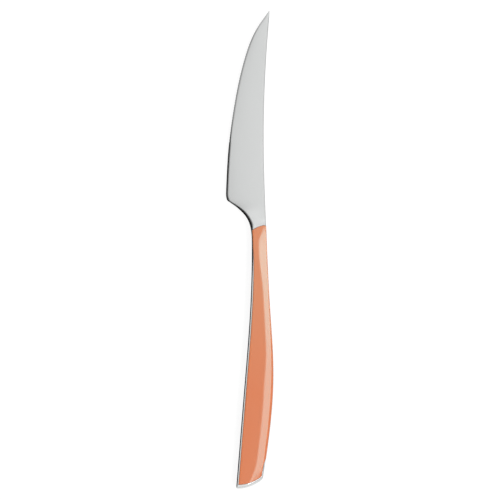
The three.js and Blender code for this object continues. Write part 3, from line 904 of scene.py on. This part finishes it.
def cut_pockets_and_teeth(body, cutter, finish):
    """Grinds the saw teeth along the edge and mills the pockets and peg holes."""
    places = spread(TEETH_FROM_NECK, BLADE_LENGTH - TEETH_TO_POINT, EDGE_STEPS)
    line = [(edge_line(y), y, EDGE_HALF) for y in places]
    path = new_piece("edge_path", line, edges=chain(line))

    tree = Tree("pockets_and_saw_teeth")
    edge = tree.node(
        "GeometryNodeObjectInfo", {"transform_space": "RELATIVE"},
        Object=tree.size("Edge line", "Object", path))
    curve = tree.node("GeometryNodeMeshToCurve", Mesh=edge.outputs["Geometry"])
    teeth = tree.node(
        "GeometryNodeCurveToPoints", {"mode": "LENGTH"}, Curve=curve.outputs[0],
        Length=tree.size("Tooth pitch", "Float", TOOTH_PITCH))
    tilt = tree.size("Wheel tilt", "Float", TOOTH_GRIND)
    radius = tree.size("Wheel radius", "Float", TOOTH_RADIUS)
    inward = tree.node("ShaderNodeVectorMath", {"operation": "CROSS_PRODUCT"},
                       i0=teeth.outputs["Tangent"], i1=(0.0, 0.0, 1.0))
    turn = tree.node("FunctionNodeAxisAngleToRotation", Axis=teeth.outputs["Tangent"], Angle=tilt)
    axis = tree.node("FunctionNodeRotateVector", Vector=inward.outputs[0], Rotation=turn.outputs[0])
    beside = tree.node("ShaderNodeVectorMath", {"operation": "CROSS_PRODUCT"},
                       i0=teeth.outputs["Tangent"], i1=axis.outputs[0])
    depth = tree.node("ShaderNodeVectorMath", {"operation": "SCALE"}, i0=inward.outputs[0],
                      Scale=tree.size("Tooth depth", "Float", TOOTH_DEPTH))
    off = tree.node("ShaderNodeVectorMath", {"operation": "SCALE"}, i0=beside.outputs[0], Scale=radius)
    shift = tree.node("ShaderNodeVectorMath", {"operation": "ADD"}, i0=depth.outputs[0], i1=off.outputs[0])
    centres = tree.node("GeometryNodeSetPosition", Geometry=teeth.outputs["Points"],
                        Offset=shift.outputs[0])
    wheel = tree.node("GeometryNodeMeshCylinder", Vertices=WHEEL_SIDES, Radius=radius,
                      Depth=tree.size("Wheel length", "Float", WHEEL_LENGTH))
    aim = tree.node("FunctionNodeAlignRotationToVector", {"axis": "Z"}, Vector=axis.outputs[0])
    wheels = tree.node("GeometryNodeInstanceOnPoints", Points=centres.outputs[0],
                       Instance=wheel.outputs[0], Rotation=aim.outputs[0])
    pockets = tree.node("GeometryNodeObjectInfo", {"transform_space": "RELATIVE"},
                        Object=tree.size("Pocket cutter", "Object", cutter))
    holes = posts(tree, PEG_RADIUS + PEG_FIT, 4 * WEB_HALF, 0.0)
    cut = tree.node("GeometryNodeMeshBoolean", {"operation": "DIFFERENCE", "solver": "MANIFOLD"},
                    Mesh_1=tree.start.outputs["Geometry"],
                    Mesh_2=[pockets.outputs["Geometry"], wheels.outputs[0], holes])
    tree.finish(cut.outputs["Mesh"], finish)
    tree.run(body)
    for helper in (path, cutter):
        bpy.data.meshes.remove(helper.data)
    return body


def add_pegs(scale, finish):
    """Moulds the locating pegs onto the front scale."""
    tree = Tree("locating_pegs")
    low = PEG_FIT - SEAT - SOCKET_DEPTH
    high = SEAT + PEG_ROOT
    pegs = posts(tree, PEG_RADIUS, high - low, (low + high) / 2)
    joined = tree.node("GeometryNodeMeshBoolean", {"operation": "UNION", "solver": "MANIFOLD"},
                       Mesh_2=[tree.start.outputs["Geometry"], pegs])
    tree.finish(joined.outputs["Mesh"], finish)
    return tree.run(scale)


def cut_sockets(scale, finish):
    """Sinks the sockets of the pegs into the back scale."""
    tree = Tree("peg_sockets")
    pegs = posts(tree, PEG_RADIUS + PEG_FIT, 2 * SOCKET_DEPTH, -SEAT)
    cut = tree.node("GeometryNodeMeshBoolean", {"operation": "DIFFERENCE", "solver": "MANIFOLD"},
                    Mesh_1=tree.start.outputs["Geometry"], Mesh_2=pegs)
    tree.finish(cut.outputs["Mesh"], finish)
    return tree.run(scale)


def joint_bead(name, side, finish):
    """Bond that fills the joint round a scale, swept along the joint."""
    line = []
    for x, y in Pocket(0.5 * FIT).joint():
        if x < back_line(y) - BEAD_RADIUS:
            line.append((x, y, side * (surface_height(x, y) - BEAD_DEPTH)))
    path = new_piece(name, line, edges=chain(line))
    tree = Tree("joint_bead")
    curve = tree.node("GeometryNodeMeshToCurve", Mesh=tree.start.outputs["Geometry"])
    ring = tree.node("GeometryNodeCurvePrimitiveCircle", Resolution=BEAD_SIDES,
                     Radius=tree.size("Bead radius", "Float", BEAD_RADIUS))
    sweep = tree.node("GeometryNodeCurveToMesh", Curve=curve.outputs[0], Profile_Curve=ring.outputs[0],
                      Fill_Caps=True)
    tree.finish(sweep.outputs[0], finish)
    return tree.run(path)


# Materials

def new_material(name):
    material = bpy.data.materials.new(name)
    material.use_nodes = True
    nodes = material.node_tree.nodes
    nodes.clear()
    shader = nodes.new("ShaderNodeBsdfPrincipled")
    output = nodes.new("ShaderNodeOutputMaterial")
    material.node_tree.links.new(shader.outputs[0], output.inputs["Surface"])
    return material, shader


def noise(material, scale, stretch, detail):
    """Noise on the piece's own coordinates, in metres, drawn out by the stretch along each axis."""
    nodes, links = material.node_tree.nodes, material.node_tree.links
    place = nodes.new("ShaderNodeTexCoord")
    mapping = nodes.new("ShaderNodeMapping")
    mapping.inputs["Scale"].default_value = [1.0 / s for s in stretch]
    texture = nodes.new("ShaderNodeTexNoise")
    texture.inputs["Scale"].default_value = scale
    texture.inputs["Detail"].default_value = detail
    links.new(place.outputs["Object"], mapping.inputs["Vector"])
    links.new(mapping.outputs[0], texture.inputs["Vector"])
    return texture.outputs["Fac"]


def ranged(material, source, low, high, span=NOISE_SPAN):
    """A value carried from its span to the range from low to high."""
    made = material.node_tree.nodes.new("ShaderNodeMapRange")
    made.inputs["From Min"].default_value, made.inputs["From Max"].default_value = span
    made.inputs["To Min"].default_value = low
    made.inputs["To Max"].default_value = high
    material.node_tree.links.new(source, made.inputs["Value"])
    return made.outputs["Result"]


def between(material, factor, first, second):
    """A colour between two others."""
    made = material.node_tree.nodes.new("ShaderNodeMix")
    made.data_type = "RGBA"
    sockets = {s.identifier: s for s in made.inputs}
    sockets["A_Color"].default_value = (*first, 1)
    sockets["B_Color"].default_value = (*second, 1)
    material.node_tree.links.new(factor, sockets["Factor_Float"])
    return next(s for s in made.outputs if s.identifier == "Result_Color")


def bumped(material, source, distance, strength):
    """A normal that follows a value, with its depth in metres."""
    made = material.node_tree.nodes.new("ShaderNodeBump")
    made.inputs["Strength"].default_value = strength
    made.inputs["Distance"].default_value = distance
    material.node_tree.links.new(source, made.inputs["Height"])
    return made.outputs["Normal"]


def polished_steel():
    material, shader = new_material("polished_steel")
    links = material.node_tree.links
    lines = noise(material, POLISH_SCALE, (1.0, 60.0, 1.0), detail=3.0)
    haze = noise(material, HAZE_SCALE, (1.0, 2.5, 1.0), detail=4.0)
    shader.inputs["Metallic"].default_value = 1.0
    tone = between(material, ranged(material, haze, 0.0, 1.0), *STEEL_TONES)
    links.new(tone, shader.inputs["Base Color"])
    links.new(ranged(material, lines, *STEEL_ROUGHNESS), shader.inputs["Roughness"])
    links.new(bumped(material, lines, POLISH_DEPTH, strength=0.25), shader.inputs["Normal"])
    return material


def glossy_plastic():
    material, shader = new_material("glossy_orange_plastic")
    nodes, links = material.node_tree.nodes, material.node_tree.links
    cloud = noise(material, CLOUD_SCALE, (1.0, 3.0, 1.0), detail=3.0)
    peel = noise(material, PEEL_SCALE, EVEN, detail=2.0)
    place = nodes.new("ShaderNodeTexCoord")
    parts = nodes.new("ShaderNodeSeparateXYZ")
    links.new(place.outputs["Object"], parts.inputs[0])
    # Painted light: the base colour turns paler towards the neck, mixed with a random mottle
    painted_light_ramp = ranged(material, parts.outputs["Y"], 0.0, PAINTED_LIGHT_SHARE, PAINTED_LIGHT_FADE)
    mottle_and_painted_light = nodes.new("ShaderNodeMath")
    mottle_and_painted_light.operation = "ADD"
    links.new(painted_light_ramp, mottle_and_painted_light.inputs[0])
    links.new(ranged(material, cloud, *CLOUD_SHARE), mottle_and_painted_light.inputs[1])
    tone = between(material, mottle_and_painted_light.outputs[0], BUTT_ORANGE, NECK_ORANGE_PAINTED_LIGHTER)
    links.new(tone, shader.inputs["Base Color"])
    shader.inputs["IOR"].default_value = PLASTIC_IOR
    shader.inputs["Specular Tint"].default_value = PLASTIC_SHEEN_TINT
    links.new(ranged(material, cloud, *PLASTIC_ROUGHNESS), shader.inputs["Roughness"])
    links.new(bumped(material, peel, PEEL_DEPTH, strength=0.15), shader.inputs["Normal"])
    return material


def cured_adhesive():
    material, shader = new_material("cured_adhesive")
    links = material.node_tree.links
    grain = noise(material, GRAIN_SCALE, EVEN, detail=3.0)
    tone = between(material, ranged(material, grain, 0.0, 1.0), *ADHESIVE_TONES)
    links.new(tone, shader.inputs["Base Color"])
    links.new(ranged(material, grain, *ADHESIVE_ROUGHNESS), shader.inputs["Roughness"])
    return material


steel = polished_steel()
plastic = glossy_plastic()
adhesive = cured_adhesive()

# Pieces

cad_low, cad_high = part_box("blade_and_tang")
MILLIMETRE = 0.001
places = spread(-HANDLE_LENGTH, BLADE_LENGTH, OUTLINE_STEPS)
outline_middle = (min(map(lower_line, places)) + max(map(back_line, places))) / 2
shift = Vector((
    (cad_low.x + cad_high.x) / 2 - MILLIMETRE * outline_middle,
    cad_high.y - MILLIMETRE * (BLADE_LENGTH - POINT_LAND),
    (cad_low.z + cad_high.z) / 2,
))
TO_FRAME = Matrix.Translation(shift) @ Matrix.Scale(MILLIMETRE, 4)


def set_in_frame(piece, crease):
    """Sets a finished piece into the frame, smooth but for its sharp edges."""
    mesh = piece.data
    mesh.transform(TO_FRAME)
    mesh.shade_smooth()
    mesh.set_sharp_from_angle(angle=crease)
    return piece


blade = set_in_frame(cut_pockets_and_teeth(knife_body(), pocket_cutter(), steel), STEEL_CREASE)
front_scale = set_in_frame(add_pegs(scale_body("front_scale_moulding", 1), plastic), SCALE_CREASE)
back_scale = set_in_frame(cut_sockets(scale_body("back_scale_moulding", -1), plastic), SCALE_CREASE)
front_bead = set_in_frame(joint_bead("front_joint_bead", 1, adhesive), BEAD_CREASE)
back_bead = set_in_frame(joint_bead("back_joint_bead", -1, adhesive), BEAD_CREASE)

for piece, node, slot in (
    (blade, "blade_and_tang", "steel"),
    (front_scale, "front_scale", "orange_plastic"),
    (back_scale, "back_scale", "orange_plastic"),
    (front_bead, None, "adhesive"),
    (back_bead, None, "adhesive"),
):
    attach(piece, "root")
    if node:
        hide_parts(node)
for node in ("front_glue_film", "back_glue_film"):
    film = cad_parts[node]
    film.data.materials.clear()
    film.data.materials.append(adhesive)

# Floor, light and camera

scene = bpy.context.scene
scene.view_settings.view_transform = "Standard"


def floor():
    """White to the camera and to reflections, so that the steel mirrors it, and matt under the shadow."""
    corners = [(x * FLOOR_HALF, y * FLOOR_HALF, 0) for x, y in ((-1, -1), (1, -1), (1, 1), (-1, 1))]
    made = new_piece("floor", corners, [(0, 1, 2, 3)])
    material = bpy.data.materials.new("white_floor")
    material.use_nodes = True
    nodes, links = material.node_tree.nodes, material.node_tree.links
    nodes.clear()
    light_path = nodes.new("ShaderNodeLightPath")
    seen = light_path.outputs["Is Camera Ray"]
    for ray in ("Is Glossy Ray", "Is Transmission Ray"):
        either = nodes.new("ShaderNodeMath")
        either.operation = "MAXIMUM"
        links.new(seen, either.inputs[0])
        links.new(light_path.outputs[ray], either.inputs[1])
        seen = either.outputs[0]
    strength = nodes.new("ShaderNodeMath")
    strength.operation = "MULTIPLY"
    strength.inputs[1].default_value = FLOOR_GLOW
    links.new(seen, strength.inputs[0])
    glow = nodes.new("ShaderNodeEmission")
    links.new(strength.outputs[0], glow.inputs["Strength"])
    matt = nodes.new("ShaderNodeBsdfDiffuse")
    matt.inputs["Color"].default_value = FLOOR_TONE
    both = nodes.new("ShaderNodeAddShader")
    output = nodes.new("ShaderNodeOutputMaterial")
    links.new(glow.outputs[0], both.inputs[0])
    links.new(matt.outputs[0], both.inputs[1])
    links.new(both.outputs[0], output.inputs["Surface"])
    made.data.materials.append(material)


def studio_light():
    """A bright sky, dark beyond the belly but for a grey horizon, with a long softbox over the back."""
    world = bpy.data.worlds.new("studio")
    scene.world = world
    world.use_nodes = True
    nodes, links = world.node_tree.nodes, world.node_tree.links
    nodes.clear()
    place = nodes.new("ShaderNodeTexCoord")
    parts = nodes.new("ShaderNodeSeparateXYZ")
    links.new(place.outputs["Generated"], parts.inputs[0])

    def ramp(axis, start, end, low, high):
        made = nodes.new("ShaderNodeMapRange")
        made.interpolation_type = "SMOOTHSTEP"
        ends = ("From Min", start), ("From Max", end), ("To Min", low), ("To Max", high)
        for key, value in ends:
            made.inputs[key].default_value = value
        links.new(parts.outputs[axis], made.inputs["Value"])
        return made.outputs["Result"]

    def combine(operation, a, b):
        made = nodes.new("ShaderNodeMath")
        made.operation = operation
        links.new(a, made.inputs[0])
        links.new(b, made.inputs[1])
        return made.outputs[0]

    sky = combine("MAXIMUM", ramp(*DARK_BEYOND_BELLY), ramp(*LIT_BEYOND_POINT))
    sky = combine("MAXIMUM", sky, ramp(*GREY_HORIZON))
    for shade in SKY_SHADES:
        sky = combine("MULTIPLY", sky, ramp(*shade))
    box = ramp(*SOFTBOX[0])
    for side in SOFTBOX[1:]:
        box = combine("MULTIPLY", box, ramp(*side))
    background = nodes.new("ShaderNodeBackground")
    links.new(combine("ADD", sky, box), background.inputs["Strength"])
    output = nodes.new("ShaderNodeOutputWorld")
    links.new(background.outputs[0], output.inputs["Surface"])


def camera():
    """Looks straight down, from above the middle of the knife."""
    lens = bpy.data.cameras.new("camera")
    lens.lens = LENS
    lens.sensor_width = SENSOR
    lens.clip_start, lens.clip_end = CLIP
    made = bpy.data.objects.new("camera", lens)
    scene.collection.objects.link(made)
    made.location = CAMERA_PLACE
    scene.camera = made


floor()
studio_light()
camera()
